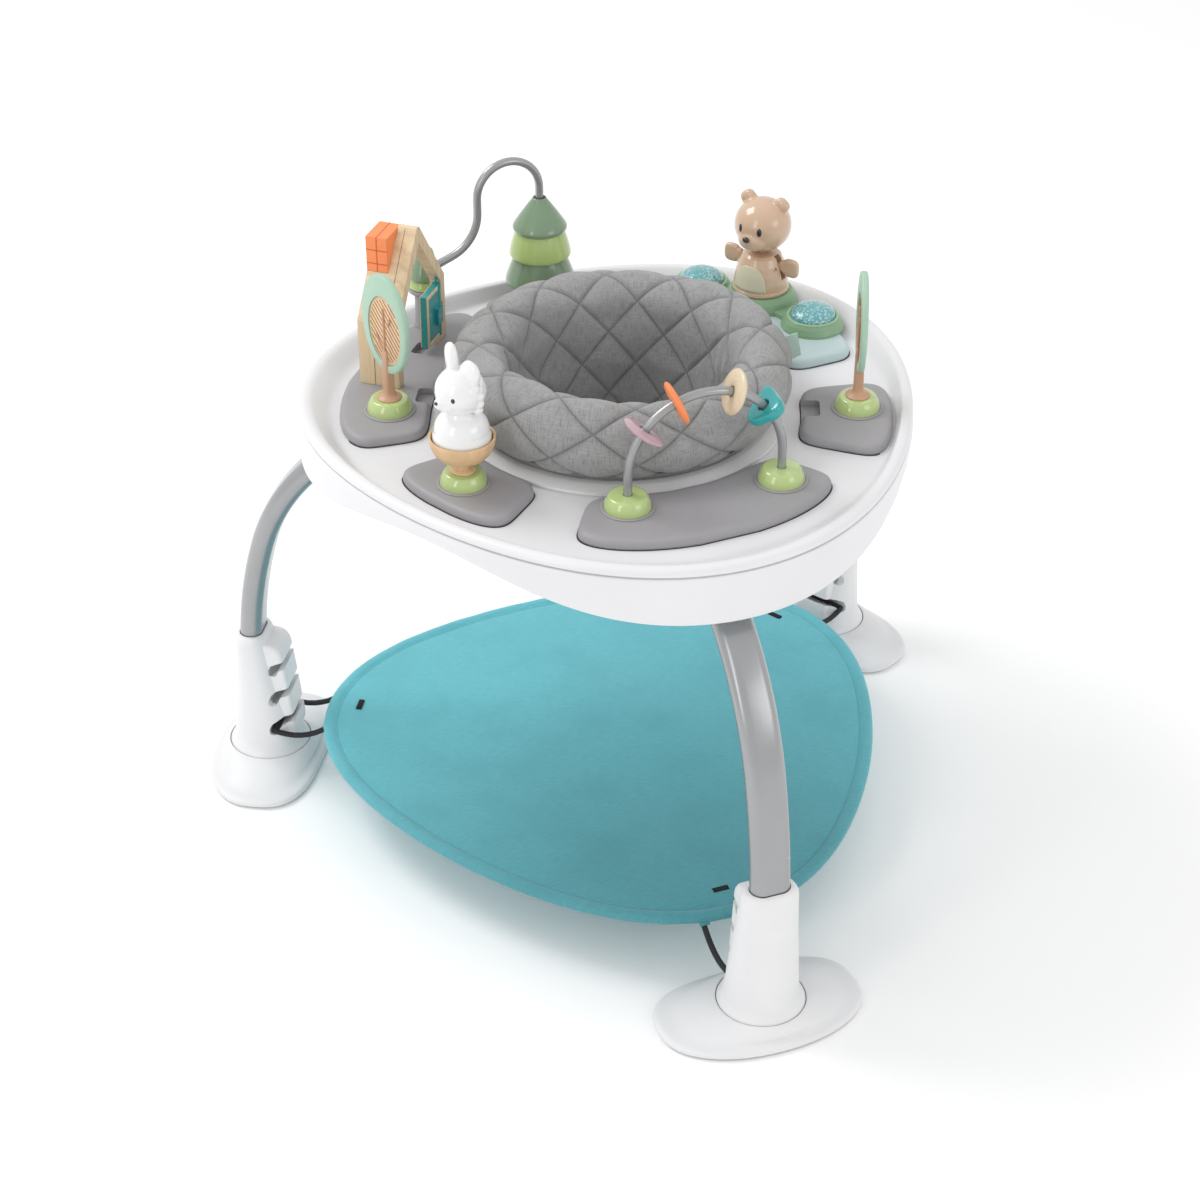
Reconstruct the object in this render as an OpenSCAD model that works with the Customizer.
// Activity jumper: a rounded three-lobed toy tray on three bent legs, a turning
// padded seat in its middle, six toy stations round it, and a bounce mat hung
// from the feet by elastic loops. Millimetres, +Z up. The origin is on the
// floor, in the middle of the part's outline. The front leg stands on -Y.
// Left and right are as seen from the seat. Every outline that is turned by
// rotate_extrude lists [radius, height].

/* [Frame] */
// Distance from the seat's axis to each leg's foot
leg_r = 388; // [384:1:392]
// Tray radius at the edge groove, averaged round the tray
tray_r = 303; // [301:0.5:305]
// How far the tray bulges out over each leg
tray_lobe = 15.9; // [14:0.1:17]
// Height of the tray floor's top face
floor_z = 466.5; // [466.5:0.1:467]
// Height of the crest of the rounded tray rim
rim_z = 483.2; // [482:0.1:485]
// Mean height of the skirt's wavy lower edge
skirt_z = 437.5; // [434:0.5:442]
// How far the skirt's lower edge dips over each leg
skirt_wave = 18.9; // [14:0.1:20]
// Number of steps round the tray shell
tray_n = 72; // [48:12:96]

/* [Legs] */
// Width of the flat-oval leg tube, across the leg
tube_w = 40; // [36:1:40]
// Depth of the flat-oval leg tube, along the leg's radius
tube_d = 24; // [20:1:24]
// Wall of the leg tube
tube_wall = 2; // [1.2:0.2:3]
// Bend radius of the leg tube's long lower curve
bend_low = 500; // [495:1:505]
// Bend radius of the leg tube's tight upper curve
bend_high = 223; // [220:1:226]
// Height of the foot socket's shoulder
socket_h = 158; // [150:1:160]
// Radius of the ring where the socket meets its foot plate
socket_ring_r = 43.7; // [42:0.1:44]

/* [Mat] */
// Mean radius of the bounce mat
mat_r = 294; // [285:1:296]
// How far the mat reaches out towards each leg
mat_lobe = 24; // [20:1:26]
// Height of the mat's edge above the floor
mat_z = 70; // [68:1:74]
// Diameter of the elastic cord
cord_d = 6; // [4:0.5:7]

/* [Seat] */
// Outer radius of the padded seat roll
roll_out = 169; // [160:1:169]
// Inner radius of the padded seat roll
roll_in = 108; // [100:1:112]
// Height of the top of the padded roll
roll_top = 552; // [545:1:556]
// Height of the underside of the seat bucket
bucket_z = 330; // [320:1:360]

/* [Toys] */
// Radius of the domes that carry the toys
dome_r = 22.5; // [20:0.5:22.5]
// Radius of the bead arch
arch_r = 77; // [76:0.5:78]
// Diameter of the arch wire and of the looped wire
wire_d = 8.6; // [7:0.2:9]
// Width of the leaf plates
leaf_w = 75.5; // [70:0.5:80]
// Height of the leaf plates
leaf_h = 104; // [96:1:106]
// Radius of the bear's head
head_r = 30; // [27:0.5:30]

/* [Hidden] */
$fn = 64;
seat_y = 79.306;        // from the middle of the floor outline to the seat's axis
pod_z = 476;            // top face of the toy pods
on_pod_z = pod_z + 0.1; // underside of what stands on a pod

// directions of the legs
front = -90;
right = 30;
left = 150;

// colours shared by several pieces
steel = [0.54, 0.55, 0.56];
grey = [0.61, 0.6, 0.62];
lime = [0.7, 0.79, 0.49];
orange = [0.98, 0.54, 0.32];
pine_green = [0.45, 0.55, 0.44];
bear_brown = [0.78, 0.64, 0.53];

// places of the toys, [x, y] from the seat's axis, and their turns in degrees
left_tree_at = [-216.3, 69.8];
left_tree_turn = -72.6;
right_tree_at = [217.3, -89.2];
right_tree_turn = -112;
bunny_at = [-192, -88.3];
bunny_turn = -161;
house_at = [-194.6, 106.1];
house_turn = 50.2;
pine_at = [2.5, 239.8];
stand_at = [-127, 229];
bear_at = [220, 157];
bear_turn = -144.5;
button_at = [[171.4, 202.2], [248, 85.4]]; // left, right
bay_at = [208.4, 148.7];
arch_at = [14.1, -186.7];
arch_turn = -1.8;

// fits
peg_r = 4;
peg_hole_r = 4.08;
wire_hole_r = wire_d / 2 + 0.1;
snug_wire_hole_r = wire_d / 2 + 0.08;

// ---- helpers --------------------------------------------------------------
function dir(angle) = [cos(angle), sin(angle)];
function mix(from, to, share) = from + (to - from) * share;
function signed_power(x, power) = (x < 0 ? -1 : 1) * pow(abs(x), power);
// three and six waves round the tray, all cresting over the legs
function wave3(angle) = cos(3 * (angle + 90));
function wave6(angle) = cos(6 * (angle + 90));
// one stop along a bent rod: [x, z, angle]
function station(point, angle) = [point.x, point.y, angle];
function ellipse_pts(a, b, n = 48) = [for (i = [0:n-1]) [a*cos(360*i/n), b*sin(360*i/n)]];

// triangles between two rings of points, given the index of each ring's first point
function band(first, second, count, flip = false) = [for (j = [0:count-1])
  let(
    next = (j + 1) % count,
    a = first + j, b = second + j, c = second + next, d = first + next,
    pair = flip ? [[a, d, c], [a, c, b]] : [[a, b, c], [a, c, d]])
  each pair];

// moves the origin from the seat's axis to the middle of the floor outline
module placed() translate([0, seat_y, 0]) children();
module at(place, z = 0) translate([place.x, place.y, z]) children();
module at_leg(angle) rotate([0, 0, angle]) children();
module each_leg() for (angle = [front, right, left]) at_leg(angle) children();

// cylinder along x, centred on the origin
module x_cylinder(r, h) translate([-h/2, 0, 0]) rotate([0, 90, 0]) cylinder(r = r, h = h);

// upright plate in the xz plane, centred on y = 0
module upright(thick) translate([0, thick/2, 0]) rotate([90, 0, 0]) linear_extrude(thick) children();

// ring-shaped solid: sections[i] is the closed outline at step i, as [radius, z]
module ring_loft(sections) {
  steps = len(sections);
  size = len(sections[0]);
  polyhedron(
    points = [for (i = [0:steps-1]) let(a = 360 * i / steps)
      for (p = sections[i]) [p[0]*cos(a), p[0]*sin(a), p[1]]],
    faces = [for (i = [0:steps-1]) each band(i*size, (i+1) % steps * size, size, flip = true)]);
}

// closed solid through stacked rings, lowest first, closed by fans to two centre points
module stack_loft(rings, bottom, top) {
  count = len(rings);
  size = len(rings[0]);
  last = (count - 1) * size;
  polyhedron(
    points = concat([for (ring = rings) for (p = ring) p], [bottom, top]),
    faces = concat(
      [for (j = [0:count-2]) each band(j*size, (j+1)*size, size)],
      [for (i = [0:size-1]) [count*size, i, (i+1) % size]],
      [for (i = [0:size-1]) [count*size + 1, last + (i+1) % size, last + i]]));
}

module stadium(width, depth) { // long side along y
  union() {
    square([depth, width - depth], center = true);
    translate([0, (width - depth) / 2]) circle(d = depth);
    translate([0, -(width - depth) / 2]) circle(d = depth);
  }
}

// ---- tray -----------------------------------------------------------------
rim_w = 26.2;      // mean distance from the groove in to the foot of the rim's slope
rim_w_wave = 10.8; // how much wider the rim is over each leg
function groove_r(angle) = tray_r + tray_lobe * wave3(angle) + 0.5 * wave6(angle);
function rim_foot_r(angle) = groove_r(angle) - rim_w - rim_w_wave * wave3(angle);
function skirt_low(angle) = skirt_z - skirt_wave * wave3(angle) + 2.9 * wave6(angle);

// [radius, z]: over the rim, in along the floor, round the lip of the opening, back underneath
function tray_section(angle) = let(
    edge = groove_r(angle), foot = rim_foot_r(angle), crest = edge - 9.5, f = floor_z) [
  [edge, 474.2], [edge + 1.6, 475.6], [edge + 1.6, 479], [edge - 0.8, 481.9],
  [edge - 5.5, rim_z], [crest, rim_z - 0.6],
  [mix(crest, foot, 0.25), 479.4], [mix(crest, foot, 0.5), 475],
  [mix(crest, foot, 0.75), 470.4], [foot, f + 0.9], [foot - 1.3, f],
  [163, f], [161.5, f + 2.1], [158.5, f + 2.1], [156, f - 0.5], [156, f - 10.5],
  [159, f - 10.5], [159, f - 3], [foot - 4, f - 3], [foot + 1.4, f - 1.9],
  [mix(crest, foot, 0.75) + 1.6, 467.8], [mix(crest, foot, 0.5) + 1.6, 472.4],
  [mix(crest, foot, 0.25) + 1.6, 476.8], [crest, rim_z - 3.6],
  [edge - 5.5, rim_z - 3], [edge - 2.6, 479.2], [edge - 1.6, 477.6], [edge - 2.8, 474.2]];

// [radius, z]: a flat web with the skirt hanging from its outer edge
function base_section(angle) = let(edge = groove_r(angle), low = skirt_low(angle)) [
  [edge - 3.2, 473.6], [edge - 3.2, 463], [162, 463], [162, 460.3],
  [edge - 0.8, 460.3], [edge - 0.8, low], [edge + 1, low],
  [edge + 2.2, low + 1.5], [edge + 2.2, 472.4], [edge - 0.6, 473.6]];

module tray_top() color("white") ring_loft([for (i = [0:tray_n-1]) tray_section(360*i/tray_n)]);

module tray_base() color("white") {
  ring_loft([for (i = [0:tray_n-1]) base_section(360*i/tray_n)]);
  each_leg() leg_sleeve();
}

// ---- legs, drawn for a leg that stands on +X --------------------------------
lean_low = 3;                   // tube's lean from upright in the foot
lean_mid = 17;                  // where the lower curve turns into the upper
lean_high = 55;                 // in the tray's sleeve
tube_in_foot = 106;             // straight length below the lower curve
tube_in_tray = 42;              // straight length above the upper curve
tube_start = [leg_r + 9.5, 160]; // [x, z] where the lower curve begins
low_centre = tube_start - bend_low * dir(lean_low);
high_centre = low_centre + (bend_low - bend_high) * dir(lean_mid);
high_end = high_centre + bend_high * dir(lean_high);
bore_w = tube_w + 0.6;
bore_d = tube_d + 0.6;
pin_along = 28; // spring button's place along the tube, from the upper curve's end

// stations along the tube: centre x, centre z, lean
tube_path = concat(
  [station(tube_start - tube_in_foot * dir(lean_low + 90), lean_low)],
  [for (k = [0:4]) let(a = mix(lean_low, lean_mid, k/4)) station(low_centre + bend_low*dir(a), a)],
  [for (k = [1:9]) let(a = mix(lean_mid, lean_high, k/9))
    station(high_centre + bend_high*dir(a), a)],
  [station(high_end + tube_in_tray * dir(lean_high + 90), lean_high)]);

// frame at the tube's upper end, z along the tube
module at_tube_end(along)
  translate([high_end.x, 0, high_end.y])
    rotate([0, -lean_high, 0])
      translate([0, 0, along]) children();

module pin_hole()
  at_tube_end(pin_along) rotate([0, 90, 0]) translate([0, 0, -30]) cylinder(r = 4.1, h = 30);

module leg_sleeve() difference() {
  union() {
    at_tube_end(12) translate([-16.5, -25, 0]) cube([33, 50, 36]);
    translate([236, -25, 430]) cube([50, 50, 30.1]);
  }
  at_tube_end(8) linear_extrude(36) stadium(bore_w, bore_d);
  pin_hole();
  // trims the sleeve just below the underside of the tray base's web
  translate([220, -40, 460.1]) cube([80, 80, 20]);
}

// flat-oval section as one closed loop of points
function oval(width, depth, steps = 9) = [for (side = [1, -1]) for (k = [0:steps])
  let(a = (side > 0 ? 0 : 180) + 180*k/steps)
  [depth/2*cos(a), side*(width - depth)/2 + depth/2*sin(a)]];

function tube_skin(section) = [for (p = tube_path) for (v = section)
  [p[0] + v[0]*cos(p[2]), v[1], p[1] + v[0]*sin(p[2])]];

module tube_loft() {
  outer = oval(tube_w, tube_d);
  inner = oval(tube_w - 2*tube_wall, tube_d - 2*tube_wall);
  size = len(outer);
  count = len(tube_path);
  bore = count * size;       // first point of the inner skin
  last = (count - 1) * size; // first point of a skin's upper end
  polyhedron(
    points = concat(tube_skin(outer), tube_skin(inner)),
    faces = concat(
      [for (i = [0:count-2]) each band(i*size, (i+1)*size, size)],
      [for (i = [0:count-2]) each band(bore + i*size, bore + (i+1)*size, size, flip = true)],
      band(0, bore, size, flip = true),
      band(last, bore + last, size)));
}

module leg_tube() color(steel) difference() {
  tube_loft();
  pin_hole();
}
module leg_tube_front() at_leg(front) leg_tube();
module leg_tube_right() at_leg(right) leg_tube();
module leg_tube_left() at_leg(left) leg_tube();

// spring buttons that lock each tube in its sleeve
module leg_buttons() color([0.3, 0.3, 0.32]) each_leg()
  at_tube_end(pin_along) rotate([0, 90, 0]) translate([0, 0, -18.5]) {
    cylinder(r = 4, h = 11);
    translate([0, 0, 8.8]) cylinder(r = 6, h = 1.1);
  }

// ---- feet, drawn for a leg that stands on +X --------------------------------
foot_at = [leg_r, 0];
hook_z = [48, 83, 118]; // floors of the three cord pockets
socket_flat = 27;       // half width of the socket's block towards the mat
screw_hole_r = 2.6;

module foot_socket() color("white") difference() {
  union() {
    at(foot_at) rotate_extrude($fn = 96) polygon([
      [0, 6.2], [socket_ring_r, 6.2], [socket_ring_r, 22], [40.5, 26.5], [37.8, 32],
      [36.5, 41.5], [33.9, 78], [30.8, 119], [27.8, socket_h], [27.2, socket_h + 4],
      [26, socket_h + 6.6], [25.2, socket_h + 7], [0, socket_h + 7]]);
    at(foot_at) upright(2 * socket_flat) polygon([
      [0, 30], [-35, 33], [-38.6, 38], [-38.2, 50],
      [-29.6, socket_h - 8], [-26, socket_h - 2], [0, socket_h - 2]]);
  }
  // bore for the tube, from above the socket to just past the tube's end
  translate([tube_start.x, 0, tube_start.y]) rotate([0, 180 - lean_low, 0])
    translate([0, 0, -20]) linear_extrude(20 + tube_in_foot + 0.4) stadium(bore_w, bore_d);
  // hooked pockets for the elastic loop, open towards the mat
  for (z = hook_z) at(foot_at, z) {
    translate([-19, -40, 0]) cube([10, 80, 30]);
    translate([-45, -40, 17]) cube([30, 80, 13]);
  }
  // flanks cut back so the loop's two strands clear the socket
  for (y = [-socket_flat - 20, socket_flat])
    translate([leg_r - 45, y, hook_z[0] - 2]) cube([36, 20, 104]);
  // screw from below
  at(foot_at, 6) cylinder(r = screw_hole_r, h = 24, $fn = 32);
}
module foot_socket_front() at_leg(front) foot_socket();
module foot_socket_right() at_leg(right) foot_socket();
module foot_socket_left() at_leg(left) foot_socket();

plate_n = 48;    // steps round the plate
well_floor = 6;  // floor of the round well the socket stands in
plate_top = 22.4;
// height, share of the way out to the plate's edge, counted from the plate's centre
plate_side = [[1.7, 1], [5.2, 1], [8, 0.965]];
// height, share of the way out to the plate's edge, counted from the socket's ring
plate_slope = [[13.2, 0.6], [19.4, 0.25], [plate_top, 0]];

// superellipse, rounder on its outer half
function plate_r(angle) = let(
    x = cos(angle), y = sin(angle),
    reach = x > 0 ? 61 : 60.5,
    power = x > 0 ? 2.1 : 3.1)
  pow(pow(abs(x) / reach, power) + pow(abs(y) / 105, power), -1 / power);

function plate_ring(z, start, share) = [for (i = [0:plate_n-1])
  let(a = 360*i/plate_n, r = mix(start, plate_r(a), share)) [r*cos(a), r*sin(a), z]];

function well_ring(z) = let(r = (socket_ring_r + 0.3) / cos(180/plate_n))
  [for (i = [0:plate_n-1]) let(a = 360*i/plate_n) [r*cos(a), r*sin(a), z]];

module foot_plate() color("white") at(foot_at) difference() {
  stack_loft(concat(
      [for (level = plate_side) plate_ring(level[0], 0, level[1])],
      [for (level = plate_slope) plate_ring(level[0], socket_ring_r + 1.4, level[1])],
      [well_ring(plate_top), well_ring(well_floor)]),
    [0, 0, plate_side[0][0]], [0, 0, well_floor]);
  translate([0, 0, -1]) cylinder(r = screw_hole_r, h = 20, $fn = 32);
  translate([0, 0, -1]) cylinder(r = 5.2, h = 5, $fn = 32);
}
module foot_plate_front() at_leg(front) foot_plate();
module foot_plate_right() at_leg(right) foot_plate();
module foot_plate_left() at_leg(left) foot_plate();

pad_at = [[-40, -62], [-40, 62], [44, -32], [44, 32]]; // from the foot's centre
module foot_pads() color([0.35, 0.36, 0.37]) each_leg()
  for (place = pad_at) at(foot_at + place) cylinder(r = 11, h = 1.6, $fn = 48);

module foot_screws() color([0.6, 0.6, 0.62]) each_leg() at(foot_at) {
  translate([0, 0, 1.9]) cylinder(r = 4.8, h = 2, $fn = 32);
  translate([0, 0, 3]) cylinder(r = 2.5, h = 25, $fn = 32);
}

// ---- bounce mat -----------------------------------------------------------
// share of the mat's radius, inset from there, height from mat_z
mat_levels = [[0.5, 0, -8.5], [0.8, 0, -8], [1, 14, -7], [1, 3, -4.5], [1, 0, 0],
  [1, 2.6, 4.6], [1, 9, 6], [1, 15, 4.2], [0.85, 0, 2.6], [0.5, 0, 2]];
function mat_edge(angle) = mat_r + mat_lobe * wave3(angle) + 2 * wave6(angle);
function mat_ring(share, inset, z) = [for (i = [0:59])
  let(a = 6*i, r = mat_edge(a) * share - inset) [r*cos(a), r*sin(a), z]];

module bounce_mat() color([0.37, 0.69, 0.73]) stack_loft(
  [for (level = mat_levels) mat_ring(level[0], level[1], mat_z + level[2])],
  [0, 0, mat_z - 8.5], [0, 0, mat_z + 2]);

cord_x = leg_r - 14; // the cord's bar in the lowest pocket
cord_z = hook_z[0] + cord_d / 2 + 0.15;
cord_y = 30.4;       // half the spread of the two strands
module elastic_loops() color([0.12, 0.12, 0.13]) each_leg() {
  run = cord_x - mat_edge(front) - 0.6; // in to where the strands meet the mat's edge
  rise = mat_z - 1 - cord_z;
  translate([cord_x, cord_y, cord_z]) rotate([90, 0, 0])
    cylinder(d = cord_d, h = 2 * cord_y, $fn = 32);
  for (side = [-1, 1]) translate([cord_x, cord_y * side, cord_z]) {
    sphere(d = cord_d + 0.3, $fn = 32);
    rotate([0, -atan2(run, rise), 0]) cylinder(d = cord_d, h = norm([run, rise]), $fn = 32);
  }
}

// ---- seat -----------------------------------------------------------------
module seat_ring() color([0.93, 0.93, 0.93]) rotate_extrude($fn = 128) polygon([
  [151.4, 452.4], [155.3, 452.4], [155.3, 468.9], [164.6, 468.9], [164.6, 471.6],
  [152, 474.6], [138, 475.6], [128, 475.6], [128, 472], [138, 472], [151.4, 468.5]]);

module seat_ring_clip() color([0.8, 0.8, 0.8]) rotate_extrude($fn = 128) polygon([
  [147, 449.2], [161.4, 449.2], [161.4, 452.2], [151.2, 452.2], [151.2, 464], [147, 464]]);

roll_z = 515;    // height of the roll's widest level
roll_drop = 37.5; // how far the roll's oval reaches below it
bucket_inside = [[104, 464], [93, 402], [80, 358], [60, bucket_z + 14], [0, bucket_z + 8]];
bucket_outside = [[0, bucket_z], [66, bucket_z + 5], [90, 351], [103, 400], [113, 464]];
module seat_pad() color([0.55, 0.55, 0.57]) {
  mid = (roll_out + roll_in) / 2;
  half_w = (roll_out - roll_in) / 2;
  difference() {
    rotate_extrude($fn = 96) polygon(concat(
      [for (i = [0:26]) let(a = -125 + 12.5 * i, half_h = sin(a) < 0 ? roll_drop : roll_top - roll_z)
        [mid + half_w * cos(a), roll_z + half_h * sin(a)]],
      bucket_inside, bucket_outside));
    // two leg holes
    for (side = [-1, 1]) rotate([0, 0, front]) translate([50, 50*side, 366])
      rotate([0, 118, 0]) translate([0, 0, -20]) cylinder(r = 32, h = 120, $fn = 48);
  }
}

// ---- toy pods -------------------------------------------------------------
// inset from the pod's outline, height
pod_levels = [[1.2, floor_z + 0.3], [0, 469], [0.4, 472.4], [1.8, 474.8], [4.4, pod_z]];
pod_squareness = 0.42; // power on sine and cosine; lower is squarer
rim_gap = 1.6;         // least gap between a pod and the foot of the rim
degrees_per_radian = 57.3;
bay_r = 19.5;          // electronics bay under the bear

function pod_point(a, angle, half_angle, inner, outer, inset, z) = let(
    out = signed_power(cos(a), pod_squareness),
    along = signed_power(sin(a), pod_squareness),
    t = angle + along * (half_angle - degrees_per_radian * inset / ((inner + outer) / 2)),
    reach = min(outer, rim_foot_r(t) - rim_gap),
    r = (inner + reach) / 2 + out * ((reach - inner) / 2 - inset))
  [r*cos(t), r*sin(t), z];

// rounded block between two radii, half_angle to either side of angle
module pod(angle, half_angle, inner, outer) {
  mid = (inner + outer) / 2 * dir(angle);
  stack_loft(
    [for (level = pod_levels) [for (i = [0:47])
      pod_point(360 * (i + 0.5) / 48, angle, half_angle, inner, outer, level[0], level[1])]],
    [mid.x, mid.y, pod_levels[0][1]], [mid.x, mid.y, pod_z]);
}
module notch(r, angle, width)
  rotate([0, 0, angle]) translate([r - 12, -width/2, 460]) cube([28, width, 30]);
module pod_hole(place, r = wire_hole_r) at(place, 460) cylinder(r = r, h = 30);

module pod_treehouse() color(grey) difference() {
  pod(141.7, 33.8, 187, 278);
  notch(188, 154, 27);
  // recess inside the house's doorway
  translate([-149, 181, 469.5]) rotate([0, 0, house_turn]) translate([-12, -6, 0]) cube([24, 12, 20]);
}
module pod_bunny() color(grey) pod(-154, 17, 167.5, 250);
module pod_arch() color(grey) difference() {
  pod(-87.3, 33.5, 167.5, 256);
  for (side = [-1, 1]) pod_hole(arch_at + side*arch_r*dir(arch_turn));
}
module pod_leaf() color(grey) difference() {
  pod(-25, 15.3, 180, 272);
  notch(182, -23, 29);
}
module pod_bear() color([0.75, 0.83, 0.84]) difference() {
  pod(34.5, 30.2, 187, 280);
  pod_hole(bay_at, bay_r);
}
module pod_pine() color(grey) difference() {
  pod(86, 17, 188, 270);
  pod_hole(pine_at);
}

// ---- domes ----------------------------------------------------------------
module dome(bore = peg_hole_r, bore_z = 3) difference() {
  rotate_extrude() polygon(concat(
    [[0, 0], [dome_r + 2, 0], [dome_r + 2, 0.9], [dome_r + 0.2, 1.1]],
    [for (i = [0:12]) let(a = i * 39 / 12)
      [dome_r * cos(a), 1.1 + (dome_r - 1.6) * sin(a) * 0.98]],
    [[0, 14]]));
  translate([0, 0, bore_z]) cylinder(r = bore, h = 30);
}
module wire_dome() dome(wire_hole_r, -1); // bored right through
module dome_left_tree() color(lime) at(left_tree_at, on_pod_z) dome();
module dome_bunny() color(lime) at(bunny_at, on_pod_z) dome();
module dome_right_tree() color(lime) at(right_tree_at, on_pod_z) dome();
module dome_pine() color(lime) at(pine_at, on_pod_z) wire_dome();
module arch_domes() color(lime) in_arch(on_pod_z)
  for (side = [-1, 1]) translate([side*arch_r, 0, 0]) wire_dome();

// ---- bead arch ------------------------------------------------------------
arch_z = 508;     // where the arch's straight feet turn into its half circle
wire_foot = 469;  // lower end of the feet
bead_r = 22;
module in_arch(z) at(arch_at, z) rotate([0, 0, arch_turn]) children();

module arch_wire() color(steel) in_arch(arch_z) rotate([90, 0, 0]) {
  rotate_extrude(angle = 180, $fn = 128) translate([arch_r, 0]) circle(d = wire_d, $fn = 32);
  for (side = [-1, 1]) translate([side*arch_r, 0, 0]) rotate([90, 0, 0])
    cylinder(d = wire_d, h = arch_z - wire_foot, $fn = 32);
}
// disc threaded on the arch; angle is counted up from the arch's right foot
module bead(angle, thick = 7, hole = 5.3)
  in_arch(arch_z) rotate([0, -angle, 0]) translate([arch_r, 0, 0]) difference() {
    rotate_extrude($fn = 64) polygon([
      [0, -thick/2], [bead_r - thick/2, -thick/2], [bead_r - thick/6, -thick/3], [bead_r, 0],
      [bead_r - thick/6, thick/3], [bead_r - thick/2, thick/2], [0, thick/2]]);
    cylinder(r = hole, h = 40, center = true, $fn = 48);
  }
module bead_mauve() color([0.73, 0.63, 0.67]) bead(143.4);
module bead_orange() color(orange) bead(113);
module bead_beige() color([0.85, 0.78, 0.65]) bead(69.8);
module bead_teal() color([0.11, 0.62, 0.63]) bead(39.8, thick = 12, hole = 5.6);

// ---- leaf trees -----------------------------------------------------------
leaf_z = 571; // centre of the leaf plate
stem_w = 9.4;
stem_z = pod_z + 16;
stem_h = 52;
module peg() translate([0, 0, pod_z + 4]) cylinder(r = peg_r, h = 12);
module inlay_shape(gap = 0)
  translate([1.5, -6.5]) polygon(ellipse_pts(leaf_w * 0.354 + gap, leaf_h * 0.34 + gap));
module at_leaf() translate([0, 0, leaf_z]) children();

module tree_wood(place, turn) color([0.78, 0.6, 0.45]) at(place) rotate([0, 0, turn]) {
  peg();
  translate([0, 0, pod_z + 14.3]) rotate_extrude()
    polygon([[0, 0], [12.2, 0], [12.2, 1], [8, 3.4], [5.5, 5], [0, 5]]);
  translate([-stem_w/2, -stem_w/2, stem_z]) cube([stem_w, stem_w, stem_h]);
  at_leaf() upright(5.2) inlay_shape();
}
module tree_leaf(place, turn) color([0.66, 0.8, 0.71]) at(place) rotate([0, 0, turn]) difference() {
  at_leaf() upright(8) polygon(ellipse_pts(leaf_w/2, leaf_h/2, 64));
  at_leaf() upright(20) inlay_shape(0.15);
  // slot for the stem
  translate([-stem_w/2 - 0.15, -10, 500]) cube([stem_w + 0.3, 20, stem_z + stem_h + 0.2 - 500]);
}
module left_tree_wood() tree_wood(left_tree_at, left_tree_turn);
module left_tree_leaf() tree_leaf(left_tree_at, left_tree_turn);
module right_tree_wood() tree_wood(right_tree_at, right_tree_turn);
module right_tree_leaf() tree_leaf(right_tree_at, right_tree_turn);

// ---- bunny in its cup -----------------------------------------------------
ear_r = 7.6; // of the bunny's and the bear's ears
module bunny_cup() color([0.85, 0.7, 0.5]) at(bunny_at) {
  peg();
  rotate_extrude($fn = 96) polygon([
    [0, 490.3], [12.2, 490.3], [12.2, 491.4], [7.5, 493.6], [5.8, 496], [5.8, 499],
    [14, 501.5], [22, 506], [27.5, 512], [30.6, 519], [31.6, 527], [29.6, 527],
    [28.7, 519.6], [25.8, 513.4], [20.6, 508], [13, 504.6], [0, 503.4]]);
  translate([0, 0, 503]) cylinder(r = peg_r, h = 14);
}
// rounded paddle
module bunny_ear() {
  x_cylinder(r = ear_r, h = 7);
  translate([-3.5, -ear_r, 0]) cube([7, 2 * ear_r, 13]);
  translate([0, 0, 13]) x_cylinder(r = ear_r, h = 7);
}
module bunny() color([0.96, 0.96, 0.96]) at(bunny_at) difference() {
  union() {
    rotate_extrude($fn = 96) polygon([
      [0, 505], [12, 506.2], [19.5, 509.4], [24.6, 514.4], [27.4, 520.5], [28.2, 528],
      [28, 536], [26, 545], [22, 553], [15, 559], [0, 562]]);
    translate([0, 0, 575.5]) sphere(r = 24.3, $fn = 64);
    rotate([0, 0, bunny_turn]) {
      // ball on the side of the head away from the seat
      translate([19, 0, 570]) sphere(r = 9.5, $fn = 32);
      for (side = [-1, 1]) translate([-2, 12*side, 597]) rotate([-12*side, 0, 0]) bunny_ear();
    }
  }
  translate([0, 0, 490]) cylinder(r = peg_hole_r, h = 28);
}

// ---- treehouse: x along its front, y away from the seat -----------------------
house_w = 123.5;
house_d = 43;
eaves_h = 70;
ridge_h = 150;
wall = 10;
peak_half = 3;        // half width of the blunted ridge
step_x = 49.5;        // where the chimney's underside turns level
hinge = [house_w - wall - 5, 3];
door_w = 39;
function roof_z(x) = eaves_h + x * (ridge_h - 1 - eaves_h) / (house_w/2 - peak_half);
module in_house() at(house_at, pod_z + 0.15) rotate([0, 0, house_turn]) children();

// house outline less its opening, from y = 0 to depth
module gable(depth) translate([0, depth, 0]) rotate([90, 0, 0]) linear_extrude(depth) difference() {
  polygon([[0, 0], [house_w, 0], [house_w, eaves_h], [house_w/2 + peak_half, ridge_h - 1],
    [house_w/2, ridge_h], [house_w/2 - peak_half, ridge_h - 1], [0, eaves_h]]);
  translate([0, -0.01]) polygon([[wall, -1], [house_w - wall - 14, -1], [house_w - wall - 14, 6],
    [house_w - wall, 6], [house_w - wall, eaves_h - 4], [house_w/2, ridge_h - 18],
    [wall, eaves_h - 4]]);
}
module house_frame() color([0.85, 0.75, 0.6]) in_house() difference() {
  union() {
    gable(12);
    // deep side wall and roof slope on the low-x half
    intersection() {
      gable(house_d);
      translate([-1, 0, -1]) cube([house_w/2 + 5, house_d + 1, ridge_h + 2]);
    }
  }
  // step the chimney sits on
  translate([10, 20.3, roof_z(step_x) + 0.3]) cube([80, 40, 40]);
  // bores for the door's two pivots, and the pocket its knuckle turns into
  at(hinge, 1) cylinder(r = 1.56, h = 78, $fn = 32);
  translate([house_w - wall - 1, -1, 23.4]) cube([4, 5.4, 19.2]);
}
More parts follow.
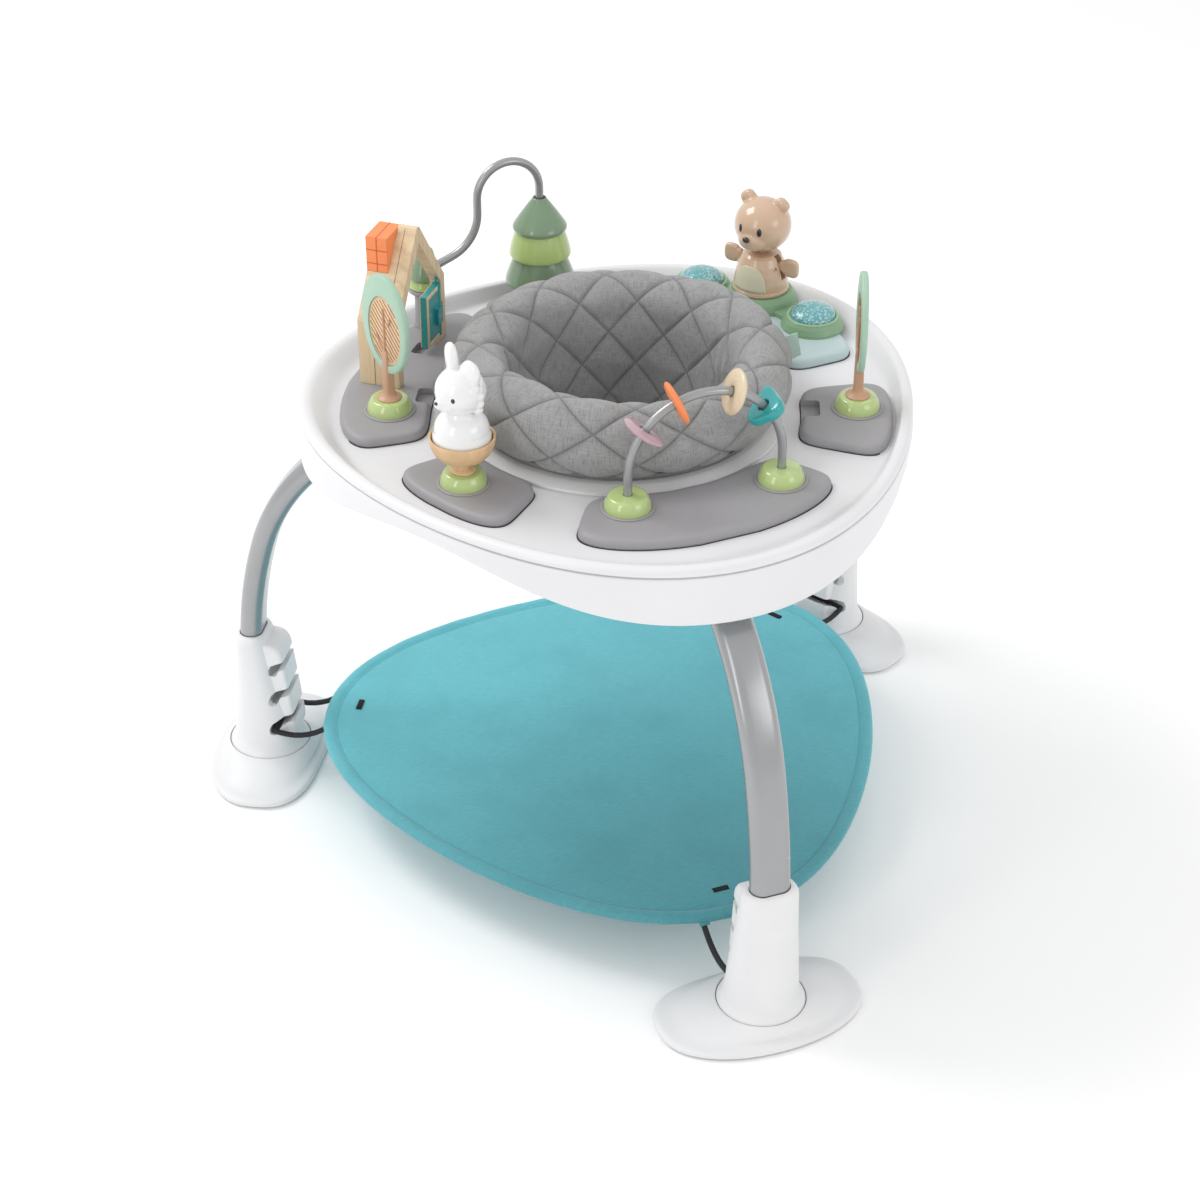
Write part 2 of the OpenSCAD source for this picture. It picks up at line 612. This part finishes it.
module house_chimney() color(orange) in_house()
  translate([0, house_d, 0]) rotate([90, 0, 0]) linear_extrude(house_d - 20.5) polygon([
    [30, roof_z(30) + 0.25], [step_x, roof_z(step_x) + 0.45],
    [66, roof_z(step_x) + 0.45], [66, 147.9], [30, 147.9]]);
module house_door() color([0.17, 0.54, 0.58]) in_house() at(hinge) {
  translate([4.6 - door_w, -3.3, 7]) cube([door_w - 4.6, 6.6, 58]);
  translate([0, 0, 7]) cylinder(r = 4.4, h = 58, $fn = 48);
  translate([0, 0, 2]) cylinder(r = 1.5, h = 76, $fn = 32);
  translate([-12, -6.8, 24]) cube([12, 6, 18]);
}

// ---- pine, small tree and looped wire: x runs from the pine to the stand -------
to_stand = stand_at - pine_at;
crook_r = 35;        // half-circle bend over the top
crook_z = 606;
sweep_r = 45;        // bend out towards the small tree
sweep_centre = [2*crook_r + sweep_r, 590];
sweep_end = sweep_centre + sweep_r * dir(250);
module in_wire() at(pine_at) rotate([0, 0, atan2(to_stand.y, to_stand.x)]) children();

// stations along the wire: x, z, heading in degrees
wire_path = concat(
  [[0, 468, 90], [0, 540, 90], [0, crook_z, 90]],
  [for (k = [1:12]) let(t = 180 - 15*k) station([crook_r, crook_z] + crook_r*dir(t), t - 90)],
  [[2*crook_r, sweep_centre.y, -90]],
  [for (k = [1:7]) let(t = 180 + 10*k) station(sweep_centre + sweep_r*dir(t), t - 270)],
  [station(sweep_end + 26*dir(-20), -20)]);

module pine_wire() color(steel) {
  in_wire() {
    size = 16; // points round the wire
    count = len(wire_path);
    r = wire_d/2;
    polyhedron(
      points = [for (p = wire_path) for (j = [0:size-1]) let(a = 360*j/size)
        [p[0] - r*cos(a)*sin(p[2]), r*sin(a), p[1] + r*cos(a)*cos(p[2])]],
      faces = concat(
        [for (i = [0:count-2]) each band(i*size, (i+1)*size, size, flip = true)],
        [[for (j = [0:size-1]) size-1-j]],
        [[for (j = [0:size-1]) (count-1)*size + j]]));
  }
  // spacer sleeve that holds the tiers off the dome
  at(pine_at, pod_z + 14.4) difference() {
    cylinder(r = 8, h = 8.3, $fn = 48);
    translate([0, 0, -1]) cylinder(r = snug_wire_hole_r, h = 12, $fn = 48);
  }
}

low_z = 499;
low_h = 31;
mid_z = low_z + low_h + 0.2;
mid_h = 28.8;
top_z = mid_z + mid_h + 0.2;
module tier(z, h, low_r, high_r) at(pine_at, z) difference() {
  rotate_extrude($fn = 96) polygon([
    [0, 0], [low_r - 3, 0], [low_r - 0.9, 0.8], [low_r, 2.8], [low_r - 0.5, 5],
    [mix(low_r, high_r, 0.62), h*0.62], [high_r + 0.4, h - 1.4], [high_r - 1, h], [0, h]]);
  translate([0, 0, -1]) cylinder(r = snug_wire_hole_r, h = h + 2);
}
module pine_tier_low() color(pine_green) tier(low_z, low_h, 37, 26.8);
module pine_tier_mid() color(lime) tier(mid_z, mid_h, 32.4, 25.2);
module pine_tier_top() color(pine_green) tier(top_z, 35.5, 28.5, 6.5);

module tree_stand() color(grey) at(stand_at, on_pod_z) rotate_extrude() polygon([
  [0, 0], [13.5, 0], [12.5, 3], [12, 38], [18.6, 40], [18.6, 44.6], [0, 44.6]]);
module small_tree() color([0.37, 0.47, 0.37]) difference() {
  at(stand_at, pod_z + 45) rotate_extrude($fn = 96) polygon([
    [0, 0], [18, 0], [17.2, 5], [14.6, 9.4], [17.4, 10], [17.8, 12], [9.5, 41],
    [10.4, 41.6], [10, 43.4], [5, 48], [0, 48.4]]);
  // bore for the wire's end
  in_wire() translate([sweep_end.x, 0, sweep_end.y]) rotate([0, 110, 0])
    translate([0, 0, 8]) cylinder(d = wire_d + 0.3, h = 19);
}

// ---- bear station; the bear faces +X in its own frame, towards the seat --------
shoulder_y = 21;
shoulder_z = 521;
button_r = 23.8;
flange_r = 25;
// start angle, sweep, inner radius at the bottom and at the top of the trim
hill_trims = [[-5, 49, 278.6, 301.6], [44, 36, 275.6, 298.1]];
module in_bear() at(bear_at) rotate([0, 0, bear_turn]) children();
module in_bay(z) at(bay_at, z) children();

module bear_hill() color([0.55, 0.68, 0.55]) difference() {
  union() {
    at(bear_at) rotate_extrude($fn = 96) polygon([
      [0, on_pod_z], [40, on_pod_z], [39, 480], [36.5, 486], [33.5, 490], [32, 491], [0, 491]]);
    for (place = button_at) at(place) rotate_extrude($fn = 96) polygon([
      [0, on_pod_z], [33, on_pod_z], [32.6, 478.5], [30, 484], [27.4, 487.6], [26.4, 488],
      [0, 488]]);
    // low ridge between the hill and its two mounds
    for (place = button_at) let(span = place - bear_at)
      at(bear_at) rotate([0, 0, atan2(span.y, span.x)])
        translate([20, -16, on_pod_z]) cube([norm(span) - 47, 32, 5]);
  }
  // wells for the two press buttons, with a lip that keeps each one in
  for (place = button_at) at(place, 479) {
    cylinder(r = button_r + 0.3, h = 20, $fn = 96);
    cylinder(r = flange_r + 0.3, h = 6.9, $fn = 96);
  }
  // underside of the electronics bay
  in_bay(470) cylinder(r = bay_r, h = 18);
  // outer edge trimmed to rest over the tray's sloping rim
  for (trim = hill_trims) rotate([0, 0, trim[0]]) rotate_extrude(angle = trim[1], $fn = 160)
    polygon([[trim[2], 466], [325, 466], [325, 484.9], [trim[3], 484.7]]);
}
module bear_body() color(bear_brown) in_bear() difference() {
  union() {
    rotate_extrude($fn = 96) polygon([
      [0, 491.15], [28.6, 491.15], [29.6, 492.6], [29.6, 495], [28.8, 496], [28.6, 503],
      [27, 513], [24, 523], [20.4, 531], [17, 533.4], [10, 534], [0, 534]]);
    translate([0, 0, 530]) cylinder(r = 5, h = 16, $fn = 48);
  }
  // slots and pivot bores for the arms
  for (side = [-1, 1]) {
    translate([-4.2, side > 0 ? 12 : -37, 508]) cube([8.4, 25, 25]);
    translate([0, shoulder_y*side, shoulder_z]) x_cylinder(r = 2.06, h = 24, $fn = 48);
  }
}
module bear_head() color(bear_brown) in_bear() difference() {
  union() {
    translate([0, 0, 564.6]) sphere(r = head_r, $fn = 96);
    translate([26, 0, 558]) sphere(r = 8.5, $fn = 48);
    for (side = [-1, 1]) translate([-3, 19*side, 588]) x_cylinder(r = ear_r, h = 8, $fn = 48);
  }
  translate([0, 0, 520]) cylinder(r = 5.06, h = 28, $fn = 48);
}
module bear_arm(side) color(bear_brown) in_bear() translate([0, shoulder_y*side, shoulder_z]) {
  x_cylinder(r = 5.6, h = 7.8, $fn = 48);
  x_cylinder(r = 2, h = 22, $fn = 48);
  translate([-3.4, side > 0 ? 0 : -15, -5]) cube([6.8, 15, 10]);
  translate([0, 16*side, 0]) x_cylinder(r = 9.5, h = 6.8, $fn = 64);
}
module bear_arm_left() bear_arm(-1);
module bear_arm_right() bear_arm(1);

// flanged cylinder with a domed top
module button(place) color([0.42, 0.71, 0.72]) at(place) rotate_extrude($fn = 96) polygon(concat(
  [[0, 482.3], [flange_r, 482.3], [flange_r, 485.6], [button_r, 485.7], [button_r, 488]],
  [for (i = [1:10]) let(a = 9 * i) [button_r * cos(a), 488 + 12.3 * sin(a)]]));
module button_left() button(button_at[0]);
module button_right() button(button_at[1]);

module battery_cover() color([0.7, 0.78, 0.79]) in_bay(floor_z + 0.2) difference() {
  cylinder(r = bay_r - 0.2, h = 1.8);
  translate([-6, -1, -1]) cube([12, 2, 1.8]);
}
module battery_cells() color([0.7, 0.7, 0.7]) for (a = [0, 120, 240])
  in_bay(468.8) rotate([0, 0, a]) translate([8, 0, 0]) cylinder(r = 5.8, h = 5.4, $fn = 48);
module sound_board() color([0.15, 0.4, 0.25]) in_bay(475.2) {
  cylinder(r = 18.6, h = 1.6);
  translate([0, 0, 1.5]) cylinder(r = 14, h = 5);
}

placed() tray_top();
placed() tray_base();
placed() seat_ring();
placed() seat_ring_clip();
placed() seat_pad();
placed() leg_tube_front();
placed() leg_tube_right();
placed() leg_tube_left();
placed() leg_buttons();
placed() foot_socket_front();
placed() foot_socket_right();
placed() foot_socket_left();
placed() foot_plate_front();
placed() foot_plate_right();
placed() foot_plate_left();
placed() foot_pads();
placed() foot_screws();
placed() bounce_mat();
placed() elastic_loops();
placed() pod_treehouse();
placed() pod_bunny();
placed() pod_arch();
placed() pod_leaf();
placed() pod_bear();
placed() pod_pine();
placed() dome_left_tree();
placed() dome_bunny();
placed() dome_right_tree();
placed() dome_pine();
placed() arch_domes();
placed() arch_wire();
placed() bead_mauve();
placed() bead_orange();
placed() bead_beige();
placed() bead_teal();
placed() left_tree_wood();
placed() left_tree_leaf();
placed() right_tree_wood();
placed() right_tree_leaf();
placed() bunny_cup();
placed() bunny();
placed() house_frame();
placed() house_chimney();
placed() house_door();
placed() pine_wire();
placed() pine_tier_top();
placed() pine_tier_mid();
placed() pine_tier_low();
placed() tree_stand();
placed() small_tree();
placed() bear_hill();
placed() bear_body();
placed() bear_head();
placed() bear_arm_left();
placed() bear_arm_right();
placed() button_left();
placed() button_right();
placed() battery_cover();
placed() battery_cells();
placed() sound_board();
